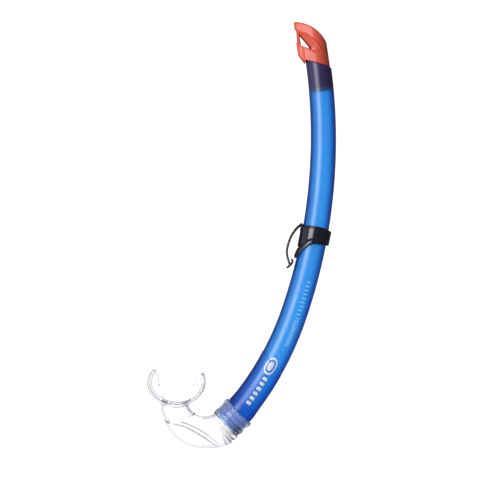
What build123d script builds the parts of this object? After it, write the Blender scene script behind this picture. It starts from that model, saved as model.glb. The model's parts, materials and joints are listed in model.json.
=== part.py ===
from build123d import *
import os
from math import cos, radians, sin, tan

# Snorkel tube, in millimetres. +Z is up, the whole tube lies in the XZ plane and
# is symmetric about it. The origin is the centre of the opening that goes in the
# mouth. "Lean" is the angle between the tube's own axis and the vertical.

# ---- centreline of the barrel: two arcs that meet at the knee ----
COLLAR_RIM = (58.0, -7.2)      # where the barrel leaves the elbow's collar
COLLAR_LEAN = 47.0             # axis of the collar and of the barrel's end in it
FOOT_LEAN = 40.0               # lower end of the curved barrel, at the collar's rim
KNEE_LEAN = 19.5
LABEL_LEAN = 28.85             # small oblique step in the barrel above its printed zone
LABEL_TILT = 27.6              # the step's plane is turned this far from square to the barrel
LABEL_ROOM = 3.0               # the thicker tube is made this far up past the step, then cut
TOP_LEAN = -8.0
LOWER_RADIUS = 284.0
UPPER_RADIUS = 507.0
LOFT_STEPS = 24                # sections along each long loft
INSERT_LENGTH = 16.4           # straight end of the barrel inside the collar

# ---- barrel section ----
TOP_R = 11.6
KNEE_R = 12.6
LABEL_STEP = 0.25
FLARE_LEAN = 37.0
FLARE_R = 13.35
INSERT_R = 14.2
TOP_BORE_R = 9.8
INSERT_BORE_R = 11.8

# ---- joint between the barrel and the splash guard ----
JOINT = (132.6, 318.7)
JOINT_TILT = 15.0              # the joint is lower at the back by this angle
SPIGOT_LEAN = -5.05            # lower end of the spigot, inside the barrel
SPIGOT_GAP = 0.05
SPIGOT_WALL = 1.5

# ---- splash guard ----
GUARD_R = 11.4
GUARD_NOSE_R = 6.0
GUARD_NOSE_REACH = 12.8
GUARD_WALL = 1.8
GUARD_TALL = 60.0
# Half of the blunter plan of the block under the windows: distance forward of the
# joint's centre, and distance from the middle plane.
BLOCK_HALF_PLAN = [(0.0, 11.4), (3.5, 10.9), (11.8, 8.5), (18.9, 0.0)]

# ---- keeper ----
KEEPER_BORE_R = 12.85
KEEPER_OUTER_R = 14.7
KEEPER_SHIFT = 0.65            # the band is thicker at the back by twice this
BEAD_OUTER_R = 15.6
BEAD_SHIFT = 0.4
KEEPER_TOP_LEAN = 8.0
KEEPER_SPAN = 8.0
HINGE = (116.1, 168.0)
PIN_R = 0.7
PIN_LENGTH = 9.2
PIN_GAP = 0.06
KNUCKLE_R = 1.5
EAR_OUTER_Y = 4.5
EAR_INNER_Y = 2.7
EAR_GAP = 0.35
EAR_WEB = [(116.0, 168.6), (118.2, 168.6), (121.5, 165.0), (115.5, 163.0)]
HOOK_HALF_WIDTH = 4.5
ARM_THICK = 2.1
CLAW_THICK = 1.9

# ---- elbow ----
ELBOW_WALL = 1.6
COLLAR_GAP = 0.05
COLLAR_R = 15.6
RIM_BEAD = 1.0
RIM_BEAD_LENGTH = 5.0
RIM_LEAD = 0.7                 # lead-in at the collar's mouth, clear of the leaning barrel
RIM_LEAD_LENGTH = 2.2
STOP_BORE_R = 12.3
RIB_START = 10.6
RIB_LENGTH = 3.0
RIB_HEIGHT = 1.0
SLEEVE_WALL = 1.4
NECK_TOP_Z = -1.2

# ---- mouth bit ----
ARCH_R = 29.7
ARCH_TURN = 52.0
ARCH_LOW = (-1.0, -2.8)
ARCH_LEFT_TIP = (-23.0, 31.5)
ARCH_RIGHT_TIP = (25.2, 28.0)
FLANGE_WALL = 2.6
FLANGE_HALF_HEIGHT = 15.0
FLANGE_CORNER = 8.0
TAB_HALF_THICK = 1.8
TAB_REACH = 8.3
TAB_CORNERS = [(15.2, 22.6), (-14.8, 24.2)]   # the tabs' inner top corners, right and left
TAB_END_TURN = 30.5            # the tabs end this far round the arch from its lowest point
LUG_THICK = 3.0
LUG_HALF_HEIGHT = 4.5
LUG_LOW_Z = 17.0
FAR = 100.0


def unit(lean):
    """Direction of the tube's axis at a lean, as (x, z)."""
    return sin(radians(lean)), cos(radians(lean))


def centre(lean):
    """Point of the barrel's centreline at a lean, as (x, z)."""
    knee_x = COLLAR_RIM[0] + LOWER_RADIUS * (cos(radians(KNEE_LEAN)) - cos(radians(FOOT_LEAN)))
    knee_z = COLLAR_RIM[1] + LOWER_RADIUS * (sin(radians(FOOT_LEAN)) - sin(radians(KNEE_LEAN)))
    if lean >= KNEE_LEAN:
        start, start_lean, radius = COLLAR_RIM, FOOT_LEAN, LOWER_RADIUS
    else:
        start, start_lean, radius = (knee_x, knee_z), KNEE_LEAN, UPPER_RADIUS
    x = start[0] + radius * (cos(radians(lean)) - cos(radians(start_lean)))
    z = start[1] + radius * (sin(radians(start_lean)) - sin(radians(lean)))
    return x, z


def upper_centre():
    """Centre of the upper arc, which the keeper slides about."""
    x, z = centre(KNEE_LEAN)
    along = unit(KNEE_LEAN)
    return x - UPPER_RADIUS * along[1], z + UPPER_RADIUS * along[0]


def across_plane(point, lean):
    """Plane square to the tube at a point; its x runs across the tube in the XZ plane."""
    along = unit(lean)
    return Plane(
        origin=(point[0], 0, point[1]),
        x_dir=(along[1], 0, -along[0]),
        z_dir=(along[0], 0, along[1]),
    )


def disc(lean, radius):
    return across_plane(centre(lean), lean) * Circle(radius)


def insert_point(distance):
    """Point on the collar's axis, a distance down from its rim."""
    along = unit(COLLAR_LEAN)
    return COLLAR_RIM[0] - distance * along[0], COLLAR_RIM[1] - distance * along[1]


def collar_cylinder(radius, start, length):
    """Cylinder on the collar's axis, from start down to start + length below the rim."""
    plane = across_plane(insert_point(start + length), COLLAR_LEAN)
    return extrude(plane * Circle(radius), length)


def side_face(outline):
    """Closed face in the XZ plane from (x, z) points joined by straight lines."""
    return Plane.XZ * make_face(Polyline([*outline, outline[0]]))


def side_solid(face, half_width):
    return extrude(face, half_width, dir=(0, 1, 0), both=True)


def blend(value, from_value, to_value, from_result, to_result):
    part = (value - from_value) / (to_value - from_value)
    return from_result + part * (to_result - from_result)


def barrel_radius(lean):
    """Outer radius of the barrel at a lean: a slight taper, then a flare to the collar."""
    if lean <= KNEE_LEAN:
        return blend(lean, TOP_LEAN, KNEE_LEAN, TOP_R, KNEE_R)
    if lean <= FLARE_LEAN:
        return blend(lean, KNEE_LEAN, FLARE_LEAN, KNEE_R, FLARE_R)
    return blend(lean, FLARE_LEAN, FOOT_LEAN, FLARE_R, INSERT_R)


def bore_radius(lean):
    return blend(lean, TOP_LEAN, FOOT_LEAN, TOP_BORE_R, INSERT_BORE_R)


def tapered_tube(leans, radius_at):
    return loft([disc(lean, radius_at(lean)) for lean in leans])


def above_joint(lift):
    """Everything above the oblique joint between barrel and guard, or above that by lift."""
    tilt = radians(JOINT_TILT)
    plane = Plane(
        origin=(JOINT[0], 0, JOINT[1] + lift),
        x_dir=(cos(tilt), 0, -sin(tilt)),
        z_dir=(sin(tilt), 0, cos(tilt)),
    )
    return extrude(plane * Rectangle(FAR, FAR), FAR)


def leans_between(first, last, steps):
    return [first + (last - first) * step / steps for step in range(steps + 1)]


def rim_ball(radius):
    """Ball at the collar's rim, which rounds the corner between the barrel and its end."""
    return Pos(COLLAR_RIM[0], 0, COLLAR_RIM[1]) * Sphere(radius)


def make_barrel():
    over_top = TOP_LEAN - 2
    upper = tapered_tube(leans_between(over_top, FOOT_LEAN, LOFT_STEPS), barrel_radius)
    lower = tapered_tube(
        leans_between(LABEL_LEAN - LABEL_ROOM, FOOT_LEAN, LOFT_STEPS // 4),
        lambda lean: min(barrel_radius(lean) + LABEL_STEP, INSERT_R),
    )
    step_plane = across_plane(centre(LABEL_LEAN), LABEL_LEAN + LABEL_TILT)
    lower -= extrude(step_plane * Rectangle(FAR, FAR), FAR)
    insert = collar_cylinder(INSERT_R, 0, INSERT_LENGTH)
    bore = tapered_tube(leans_between(over_top, FOOT_LEAN, LOFT_STEPS), bore_radius)
    insert_bore = collar_cylinder(INSERT_BORE_R, 0, INSERT_LENGTH)
    outside = upper + lower + rim_ball(INSERT_R) + insert
    inside = bore + rim_ball(INSERT_BORE_R) + insert_bore
    return outside - inside - above_joint(0)


def joint_point(x):
    """Point of the oblique joint's edge view at a given x."""
    return x, JOINT[1] - (x - JOINT[0]) * tan(radians(JOINT_TILT))


def guard_outline():
    """Side view of the hood: curved crown, straight back, oblique foot and upright front."""
    peak = (109.0, 358.6)
    shoulder = (140.4, 338.8)
    crown = ThreePointArc(peak, (126.2, 352.9), shoulder)
    rest = Polyline(
        [
            shoulder,
            joint_point(143.9),
            joint_point(120.4),
            (119.9, 319.5),
            (113.6, 327.2),
            (111.7, 338.7),
            (112.5, 339.6),
            (111.7, 350.6),
            (110.1, 352.2),
            peak,
        ]
    )
    return Plane.XZ * make_face([crown, rest])


def window_outline():
    """Side window: pointed at the top front, round at its low back corner."""
    tip = (113.4, 347.8)
    corner = (127.2, 334.6)
    crown = ThreePointArc(tip, (121.8, 342.3), corner)
    corner_arc = ThreePointArc(corner, (126.8, 332.8), (124.9, 332.2))
    rest = Polyline([(124.9, 332.2), (116.3, 335.4), (114.9, 343.0), tip])
    return Plane.XZ * make_face([crown, corner_arc, rest])


def guard_plan(inset):
    """Egg-shaped plan of the hood, round at the back and narrow at the nose."""
    back = Circle(GUARD_R - inset)
    nose = Pos(-GUARD_NOSE_REACH, 0) * Circle(GUARD_NOSE_R - inset)
    return across_plane(JOINT, TOP_LEAN) * make_hull([*back.edges(), *nose.edges()])


def block_outline():
    """Side view of the block under the windows, before it is trimmed to the guard's."""
    return side_face(
        [
            (110.5, 340.6),
            (112.6, 340.2),
            (118.5, 334.3),
            (128.2, 328.3),
            (131.5, 318.5),
            (119.0, 317.5),
            (111.5, 328.0),
        ]
    )


def block_plan():
    half = [(-forward, side) for forward, side in BLOCK_HALF_PLAN]
    other_half = [(back, -side) for back, side in reversed(half[:-1])]
    return across_plane(JOINT, TOP_LEAN) * make_face(Polyline([*half, *other_half, half[0]]))


def make_splash_guard():
    outline = guard_outline()
    hood = side_solid(outline, GUARD_R) & extrude(guard_plan(0), GUARD_TALL, both=True)
    block = side_solid(block_outline(), GUARD_R) & side_solid(outline, GUARD_R)
    hood += block & extrude(block_plan(), GUARD_TALL, both=True)
    hollow = side_solid(offset(outline, -GUARD_WALL), GUARD_R) & extrude(
        guard_plan(GUARD_WALL), GUARD_TALL, both=True
    )
    spigot_leans = leans_between(TOP_LEAN - 1, SPIGOT_LEAN, LOFT_STEPS // 6)
    spigot = tapered_tube(spigot_leans, lambda lean: bore_radius(lean) - SPIGOT_GAP)
    spigot -= above_joint(GUARD_WALL / 2)
    way = tapered_tube(spigot_leans, lambda lean: bore_radius(lean) - SPIGOT_WALL)
    window = side_solid(window_outline(), GUARD_R)
    return hood - hollow - window + spigot - way


def keeper_torus(radius, shift):
    """Piece of a ring about the upper arc's centre, where the band sits."""
    x, z = centre(KEEPER_TOP_LEAN)
    along = unit(KEEPER_TOP_LEAN)
    start = (x + shift * along[1], z - shift * along[0])
    axis_x, axis_z = upper_centre()
    face = across_plane(start, KEEPER_TOP_LEAN) * Circle(radius)
    return revolve(face, Axis((axis_x, 0, axis_z), (0, 1, 0)), KEEPER_SPAN)


def band_outline():
    crown = Spline((112.5, 163.6), (120.5, 166.9), (128.2, 166.4), (137.3, 164.5), (145.0, 161.0))
    rest = Polyline(
        [
            (145.0, 161.0),
            (142.0, 148.1),
            (129.1, 149.9),
            (122.4, 150.6),
            (112.0, 147.2),
            (110.5, 147.2),
            (112.5, 163.6),
        ]
    )
    return Plane.XZ * make_face([crown, rest])


def bead_outline():
    """Thick lip that sweeps from the band's side down to the tongue's tip."""
    lower = Spline((127.7, 150.2), (122.4, 147.9), (117.6, 144.1), (113.8, 139.3), (110.4, 136.0))
    upper = Spline((107.9, 139.0), (111.9, 145.1), (117.6, 150.6), (122.4, 153.7), (127.7, 155.4))
    ends = [Line((110.4, 136.0), (107.9, 139.0)), Line((127.7, 155.4), (127.7, 150.2))]
    return Plane.XZ * make_face([lower, upper, *ends])


def cross_cylinder(point, radius, inner_y, outer_y):
    """Cylinder along Y, between two distances from the middle plane."""
    plane = Plane(origin=(point[0], inner_y, point[1]), x_dir=(1, 0, 0), z_dir=(0, 1, 0))
    return extrude(plane * Circle(radius), outer_y - inner_y)


def make_keeper_band():
    bore = keeper_torus(KEEPER_BORE_R, 0)
    band = keeper_torus(KEEPER_OUTER_R, KEEPER_SHIFT) & side_solid(band_outline(), FAR / 2)
    bead = keeper_torus(BEAD_OUTER_R, BEAD_SHIFT) & side_solid(bead_outline(), FAR / 2)
    band = band + bead - bore
    for inner_y, outer_y in ((EAR_INNER_Y, EAR_OUTER_Y), (-EAR_OUTER_Y, -EAR_INNER_Y)):
        ear = cross_cylinder(HINGE, KNUCKLE_R, inner_y, outer_y)
        middle_y = (inner_y + outer_y) / 2
        blank = Pos(0, middle_y, 0) * side_solid(side_face(EAR_WEB), (outer_y - inner_y) / 2)
        band += ear + (blank - bore)
    pin_hole = cross_cylinder(HINGE, PIN_R, -PIN_LENGTH, PIN_LENGTH)
    return band - pin_hole


def make_keeper_hinge_pin():
    return cross_cylinder(HINGE, PIN_R, -PIN_LENGTH / 2, PIN_LENGTH / 2)


def make_keeper_hook():
    arm_line = Spline(HINGE, (111.0, 163.4), (105.9, 155.0), (102.8, 142.4), (105.4, 131.0))
    claw_line = Spline((103.3, 127.9), (106.0, 130.2), (108.2, 133.3), (107.5, 135.2))
    arm = side_solid(Plane.XZ * trace(arm_line, ARM_THICK), HOOK_HALF_WIDTH)
    claw = side_solid(Plane.XZ * trace(claw_line, CLAW_THICK), HOOK_HALF_WIDTH)
    eye = cross_cylinder(HINGE, KNUCKLE_R, -EAR_OUTER_Y, EAR_OUTER_Y)
    hook = arm + claw + eye
    for side in (-1, 1):
        inner, outer = sorted((side * (EAR_INNER_Y - EAR_GAP), side * (EAR_OUTER_Y + 1)))
        hook -= cross_cylinder(HINGE, KNUCKLE_R + EAR_GAP * 2, inner, outer)
    return hook - cross_cylinder(HINGE, PIN_R + PIN_GAP, -PIN_LENGTH, PIN_LENGTH)


# Cross-sections of the air way, from the mouth down the neck and round the bend:
# the outer point, the inner point, as (x, z), and half of the width along Y.
NECK_SECTIONS = [
    ((-15.9, 1.0), (9.6, 1.0), 9.2),
    ((-14.8, -8.5), (12.2, -5.5), 9.8),
    ((-11.0, -17.2), (16.8, -9.8), 10.8),
]
BEND_SECTIONS = [
    ((-5.8, -26.6), (19.5, -11.2), 12.0),
    ((3.0, -35.0), (22.3, -12.0), 13.2),
    ((15.5, -40.5), (25.0, -12.3), 14.2),
    ((29.0, -41.8), (28.0, -12.0), 14.9),
    ((42.0, -40.3), (31.3, -11.2), 15.4),
    ((51.0, -36.0), (33.2, -10.6), 15.6),
]


def oval(section, inset):
    """Ellipse between the outer and inner point of a section."""
    outer, inner, half_y = section
    dx = outer[0] - inner[0]
    dz = outer[1] - inner[1]
    length = (dx * dx + dz * dz) ** 0.5
    plane = Plane(
        origin=((outer[0] + inner[0]) / 2, 0, (outer[1] + inner[1]) / 2),
        x_dir=(dx / length, 0, dz / length),
        z_dir=(-dz / length, 0, dx / length),
    )
    return plane * Ellipse(length / 2 - inset, half_y - inset)


def collar_section(distance, radius):
    """Round section on the collar's axis, listed like the bend's."""
    x, z = insert_point(distance)
    along = unit(COLLAR_LEAN)
    outer = (x + radius * along[1], z - radius * along[0])
    inner = (x - radius * along[1], z + radius * along[0])
    return outer, inner, radius


def make_neck_spigot():
    """Oval end of the elbow that the mouth bit is pulled over."""
    inner_inset = SLEEVE_WALL + ELBOW_WALL
    spigot = loft([oval(s, SLEEVE_WALL) for s in NECK_SECTIONS])
    spigot -= loft([oval(s, inner_inset) for s in NECK_SECTIONS])
    above = extrude(Plane.XY.offset(NECK_TOP_Z) * Rectangle(FAR, FAR), FAR)
    return spigot - above


def make_bend():
    """Hollow bend from the neck's shoulder to the end of the barrel."""
    shoulder = NECK_SECTIONS[-1]
    outside = [oval(s, 0) for s in [shoulder, *BEND_SECTIONS]]
    outside.append(oval(collar_section(INSERT_LENGTH, COLLAR_R), 0))
    inside = [oval(shoulder, SLEEVE_WALL + ELBOW_WALL)]
    inside += [oval(s, ELBOW_WALL) for s in BEND_SECTIONS]
    inside.append(oval(collar_section(INSERT_LENGTH, STOP_BORE_R), 0))
    return loft(outside) - loft(inside)


def make_collar():
    """Sleeve round the barrel's end, with a bead at its rim, a rib and a lead-in."""
    collar = collar_cylinder(COLLAR_R, 0, INSERT_LENGTH)
    collar += collar_cylinder(COLLAR_R + RIM_BEAD, 0, RIM_BEAD_LENGTH)
    collar += collar_cylinder(COLLAR_R + RIB_HEIGHT, RIB_START, RIB_LENGTH)
    bore_r = INSERT_R + COLLAR_GAP
    deep = across_plane(insert_point(RIM_LEAD_LENGTH), COLLAR_LEAN) * Circle(bore_r)
    rim = across_plane(COLLAR_RIM, COLLAR_LEAN) * Circle(bore_r + RIM_LEAD)
    return collar - collar_cylinder(bore_r, 0, INSERT_LENGTH) - loft([deep, rim])


def make_elbow():
    return make_bend() + make_neck_spigot() + make_collar()


def arch(inset, lid):
    """Plan of the U-shaped flange, inset from its outer line: three arcs in tangent.

    The lid is the list of points that closes the U, from its right tip to its left tip.
    """
    radius = ARCH_R - inset
    turn = radians(ARCH_TURN)
    left = (ARCH_LOW[0] - radius * sin(turn), ARCH_LOW[1] + ARCH_R - radius * cos(turn))
    right = (ARCH_LOW[0] + radius * sin(turn), left[1])
    left_tip = (ARCH_LEFT_TIP[0] + inset, ARCH_LEFT_TIP[1])
    right_tip = (ARCH_RIGHT_TIP[0] - inset, ARCH_RIGHT_TIP[1])
    heel = ThreePointArc(left, (ARCH_LOW[0], ARCH_LOW[1] + inset), right)
    left_arm = TangentArc(left, left_tip, tangent=(-cos(turn), sin(turn)))
    right_arm = TangentArc(right, right_tip, tangent=(cos(turn), sin(turn)))
    closing = Polyline([right_tip, *lid, left_tip])
    return Plane.XZ * make_face([heel, left_arm, right_arm, closing])


def arch_inside(inset):
    """Space inside the U, run out above its tips."""
    open_lid = [(ARCH_RIGHT_TIP[0] - inset, FAR), (ARCH_LEFT_TIP[0] + inset, FAR)]
    return side_solid(arch(inset, open_lid), FAR)


def side_view_slot(low_z, high_z, half_y, corner):
    """Rounded slot seen along X, cut or kept through the whole arch."""
    plane = Plane(origin=(0, 0, (low_z + high_z) / 2), x_dir=(0, 1, 0), z_dir=(1, 0, 0))
    return extrude(plane * RectangleRounded(2 * half_y, high_z - low_z, corner), FAR, both=True)


def make_flange():
    """U-shaped shield that lies behind the lips: a thin wall, rounded at its ends."""
    shell = side_solid(arch(0, []), FLANGE_HALF_HEIGHT) - arch_inside(FLANGE_WALL)
    rounded = side_view_slot(-FAR, ARCH_LEFT_TIP[1], FLANGE_HALF_HEIGHT, FLANGE_CORNER)
    return shell & rounded


def make_bite_tabs():
    """Two flat tabs to bite on, each with a lug at its inner edge."""
    plan = arch(FLANGE_WALL / 2, TAB_CORNERS)
    tabs = side_solid(plan, TAB_HALF_THICK)
    lugs = side_solid(plan, LUG_HALF_HEIGHT) - everything_below(LUG_LOW_Z)
    lugs &= arch_inside(FLANGE_WALL + TAB_REACH - LUG_THICK)
    hub = (ARCH_LOW[0], ARCH_LOW[1] + ARCH_R)
    down = (FAR * sin(radians(TAB_END_TURN)), FAR * cos(radians(TAB_END_TURN)))
    wedge = [hub, (hub[0] - down[0], hub[1] - down[1]), (hub[0] + down[0], hub[1] - down[1])]
    tabs -= side_solid(side_face(wedge), FAR)
    return tabs + lugs - arch_inside(FLANGE_WALL + TAB_REACH)


def everything_below(height):
    """Everything below a height."""
    return extrude(Plane.XY.offset(height) * Rectangle(FAR, FAR), -FAR)


def make_mouth_bit():
    neck = loft([oval(s, 0) for s in NECK_SECTIONS]) - arch_inside(FLANGE_WALL / 2)
    way = loft([oval(s, SLEEVE_WALL) for s in NECK_SECTIONS])
    return make_flange() + neck + make_bite_tabs() - way


PARTS = {
    "barrel": make_barrel,
    "splash_guard": make_splash_guard,
    "keeper_band": make_keeper_band,
    "keeper_hinge_pin": make_keeper_hinge_pin,
    "keeper_hook": make_keeper_hook,
    "elbow": make_elbow,
    "mouth_bit": make_mouth_bit,
}

os.makedirs("parts", exist_ok=True)
for name, make in PARTS.items():
    solid = make()
    export_step(solid, f"parts/{name}.step")
    print(name, "solids", len(solid.solids()), "volume", round(solid.volume), "valid", solid.is_valid)
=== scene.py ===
"""A snorkel's looks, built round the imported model.

Metres, +Z up. The tube lies in the XZ plane and is the same on both sides of it.
Lean is the angle between the tube's own axis and the vertical.
"""

import json
from math import radians, tau

import bpy
import numpy as np
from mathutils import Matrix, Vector


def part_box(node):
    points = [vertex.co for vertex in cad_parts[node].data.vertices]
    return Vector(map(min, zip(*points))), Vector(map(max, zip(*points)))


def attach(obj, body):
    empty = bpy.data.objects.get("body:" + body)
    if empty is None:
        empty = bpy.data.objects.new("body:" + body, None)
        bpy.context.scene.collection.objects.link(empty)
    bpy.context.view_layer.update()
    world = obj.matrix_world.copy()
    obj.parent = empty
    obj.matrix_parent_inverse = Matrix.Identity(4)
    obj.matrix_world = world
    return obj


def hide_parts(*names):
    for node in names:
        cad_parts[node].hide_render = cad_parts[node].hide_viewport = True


MM = 0.001

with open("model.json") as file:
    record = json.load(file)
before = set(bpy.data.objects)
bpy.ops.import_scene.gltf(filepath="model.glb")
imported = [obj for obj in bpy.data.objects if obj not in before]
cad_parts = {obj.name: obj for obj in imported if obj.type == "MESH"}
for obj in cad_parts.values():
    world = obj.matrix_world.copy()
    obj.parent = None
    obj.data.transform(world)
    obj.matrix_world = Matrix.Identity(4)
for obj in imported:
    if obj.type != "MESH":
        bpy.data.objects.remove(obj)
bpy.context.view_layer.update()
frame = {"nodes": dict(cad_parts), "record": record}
JOINTS = {joint["name"]: joint for joint in frame["record"]["behaviour"]["joints"]}

# ---- centreline of the barrel ----
COLLAR_RIM = np.array(JOINTS["barrel_swivel"]["pos_m"])[[0, 2]]
ARC_CENTRE = np.array(JOINTS["keeper_slide"]["pos_m"])[[0, 2]]
HINGE = np.array(JOINTS["hook_hinge"]["pos_m"])[[0, 2]]
COLLAR_LEAN = radians(47.0)      # axis of the collar and of the barrel's end in it
FOOT_LEAN = radians(40.0)        # lower end of the curved barrel, at the collar's rim
KNEE_LEAN = radians(19.5)
LABEL_LEAN = radians(28.85)      # small oblique step above the printed zone
LABEL_TILT = radians(27.6)       # the step's plane is turned this far from square to the barrel
LABEL_BLEND = radians(3.0)
FLARE_LEAN = radians(37.0)
TOP_LEAN = radians(-8.0)
SPIGOT_LEAN = radians(-5.05)
LOWER_RADIUS = 284.0 * MM
UPPER_RADIUS = 507.0 * MM
INSERT_LENGTH = 16.4 * MM
BEND_REACH = 3.0 * MM            # the barrel turns into its end over this each side of the rim

# ---- barrel section ----
TOP_R = 11.6 * MM
KNEE_R = 12.6 * MM
FLARE_R = 13.35 * MM
INSERT_R = 14.2 * MM
LABEL_STEP = 0.25 * MM
TOP_BORE_R = 9.8 * MM
INSERT_BORE_R = 11.8 * MM

# ---- joint between barrel and splash guard ----
JOINT = np.array([132.6, 318.7]) * MM
JOINT_TILT = radians(15.0)


# ==== small geometry helpers ====

def direction(lean):
    """The tube's axis at a lean, and the direction across it, both in the XZ plane."""
    along = np.stack([np.sin(lean), np.cos(lean)], axis=-1)
    across = np.stack([np.cos(lean), -np.sin(lean)], axis=-1)
    return along, across


def centre(lean):
    """Points (x, z) of the barrel's centreline at the given leans."""
    lean = np.asarray(lean, float)
    knee = COLLAR_RIM + LOWER_RADIUS * np.array(
        [np.cos(KNEE_LEAN) - np.cos(FOOT_LEAN), np.sin(FOOT_LEAN) - np.sin(KNEE_LEAN)]
    )
    low = lean[..., None] >= KNEE_LEAN
    start = np.where(low, COLLAR_RIM, knee)
    start_lean = np.where(low, FOOT_LEAN, KNEE_LEAN)
    radius = np.where(low, LOWER_RADIUS, UPPER_RADIUS)
    turn = np.stack([np.cos(lean), -np.sin(lean)], axis=-1)
    start_turn = np.concatenate([np.cos(start_lean), -np.sin(start_lean)], axis=-1)
    return start + radius * (turn - start_turn)


def barrel_radius(lean):
    radius = np.interp(
        lean,
        [TOP_LEAN, KNEE_LEAN, FLARE_LEAN, FOOT_LEAN],
        [TOP_R, KNEE_R, FLARE_R, INSERT_R],
    )
    return np.minimum(np.where(lean > LABEL_LEAN, radius + LABEL_STEP, radius), INSERT_R)


def bore_radius(lean):
    return np.interp(lean, [TOP_LEAN, FOOT_LEAN], [TOP_BORE_R, INSERT_BORE_R])


def smooth_min(a, b, width):
    """The lower of two fields, rounded over where they cross."""
    near = np.maximum(width - np.abs(a - b), 0.0) / width
    return np.minimum(a, b) - near * near * width / 4


def smooth_max(a, b, width):
    return -smooth_min(-a, -b, width)


def raised_line(gap, height, width):
    """Height of a soft ridge at a distance from its middle."""
    return height * np.exp(-((gap / width) ** 2))


def arc_points(mid, radius, angles):
    return [(mid[0] + radius * np.cos(t), mid[1] + radius * np.sin(t)) for t in angles]


def arc_through(first, middle, last, steps=12):
    """Points along the circular arc through three points."""
    (ax, az), (bx, bz), (cx, cz) = first, middle, last
    d = 2 * (ax * (bz - cz) + bx * (cz - az) + cx * (az - bz))
    a2, b2, c2 = ax * ax + az * az, bx * bx + bz * bz, cx * cx + cz * cz
    mid = np.array(
        [
            (a2 * (bz - cz) + b2 * (cz - az) + c2 * (az - bz)) / d,
            (a2 * (cx - bx) + b2 * (ax - cx) + c2 * (bx - ax)) / d,
        ]
    )
    angles = [np.arctan2(p[1] - mid[1], p[0] - mid[0]) for p in (first, middle, last)]
    angles = np.unwrap(angles)
    radius = np.hypot(ax - mid[0], az - mid[1])
    return arc_points(mid, radius, np.linspace(angles[0], angles[2], steps))


def curve_through(points, steps=8):
    """Smooth line through a few points: a Catmull-Rom curve."""
    p = np.array([points[0], *points, points[-1]], float)
    out = []
    for i in range(1, len(p) - 2):
        for t in np.linspace(0, 1, steps, endpoint=False):
            a = 2 * p[i]
            b = p[i + 1] - p[i - 1]
            c = 2 * p[i - 1] - 5 * p[i] + 4 * p[i + 1] - p[i + 2]
            d = -p[i - 1] + 3 * p[i] - 3 * p[i + 1] + p[i + 2]
            out.append(0.5 * (a + b * t + c * t * t + d * t**3))
    return [tuple(q) for q in out] + [tuple(p[-1])]


def line_distance(x, z, points):
    """Distance from (x, z) to a polyline."""
    best = None
    for (ax, az), (bx, bz) in zip(points, points[1:]):
        dx, dz = bx - ax, bz - az
        t = np.clip(((x - ax) * dx + (z - az) * dz) / (dx * dx + dz * dz + 1e-18), 0, 1)
        gap = (x - ax - t * dx) ** 2 + (z - az - t * dz) ** 2
        best = gap if best is None else np.minimum(best, gap)
    return np.sqrt(best)


def outline_distance(x, z, points):
    """Signed distance to a closed outline in the XZ plane, negative inside."""
    inside = np.zeros(np.broadcast(x, z).shape, bool)
    loop = [*points, points[0]]
    for (ax, az), (bx, bz) in zip(loop, loop[1:]):
        if az != bz:
            crosses = (az > z) != (bz > z)
            inside ^= crosses & (x < (bx - ax) * (z - az) / (bz - az) + ax)
    gap = line_distance(x, z, loop)
    return np.where(inside, -gap, gap)


# ==== meshes ====

def new_piece(name, points, faces):
    mesh = bpy.data.meshes.new(name)
    mesh.from_pydata(np.asarray(points).tolist(), [], [list(f) for f in faces])
    mesh.validate()
    mesh.shade_smooth()
    piece = bpy.data.objects.new(name, mesh)
    bpy.context.scene.collection.objects.link(piece)
    return piece


def store(piece, name, values):
    """Keeps one number per point of a piece for its material to read."""
    piece.data.attributes.new(name, "FLOAT", "POINT").data.foreach_set("value", np.ravel(values))


def loop_faces(stations, corners):
    """Quads over a grid of points that wraps both ways."""
    index = np.arange(stations * corners).reshape(stations, corners)
    right = np.roll(index, -1, axis=1)
    faces = [index, right, np.roll(right, -1, axis=0), np.roll(index, -1, axis=0)]
    return np.stack(faces, axis=-1).reshape(-1, 4)


def loop_grid(name, rings):
    """Closed tube-like mesh from an array [station, corner, xyz] that wraps both ways."""
    return new_piece(name, rings.reshape(-1, 3), loop_faces(*rings.shape[:2]))


SOFT = 0.3 * MM                   # rounding of most moulded edges
NET_MARGIN = 4 * MM               # room left round a piece's box for its grid


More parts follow.
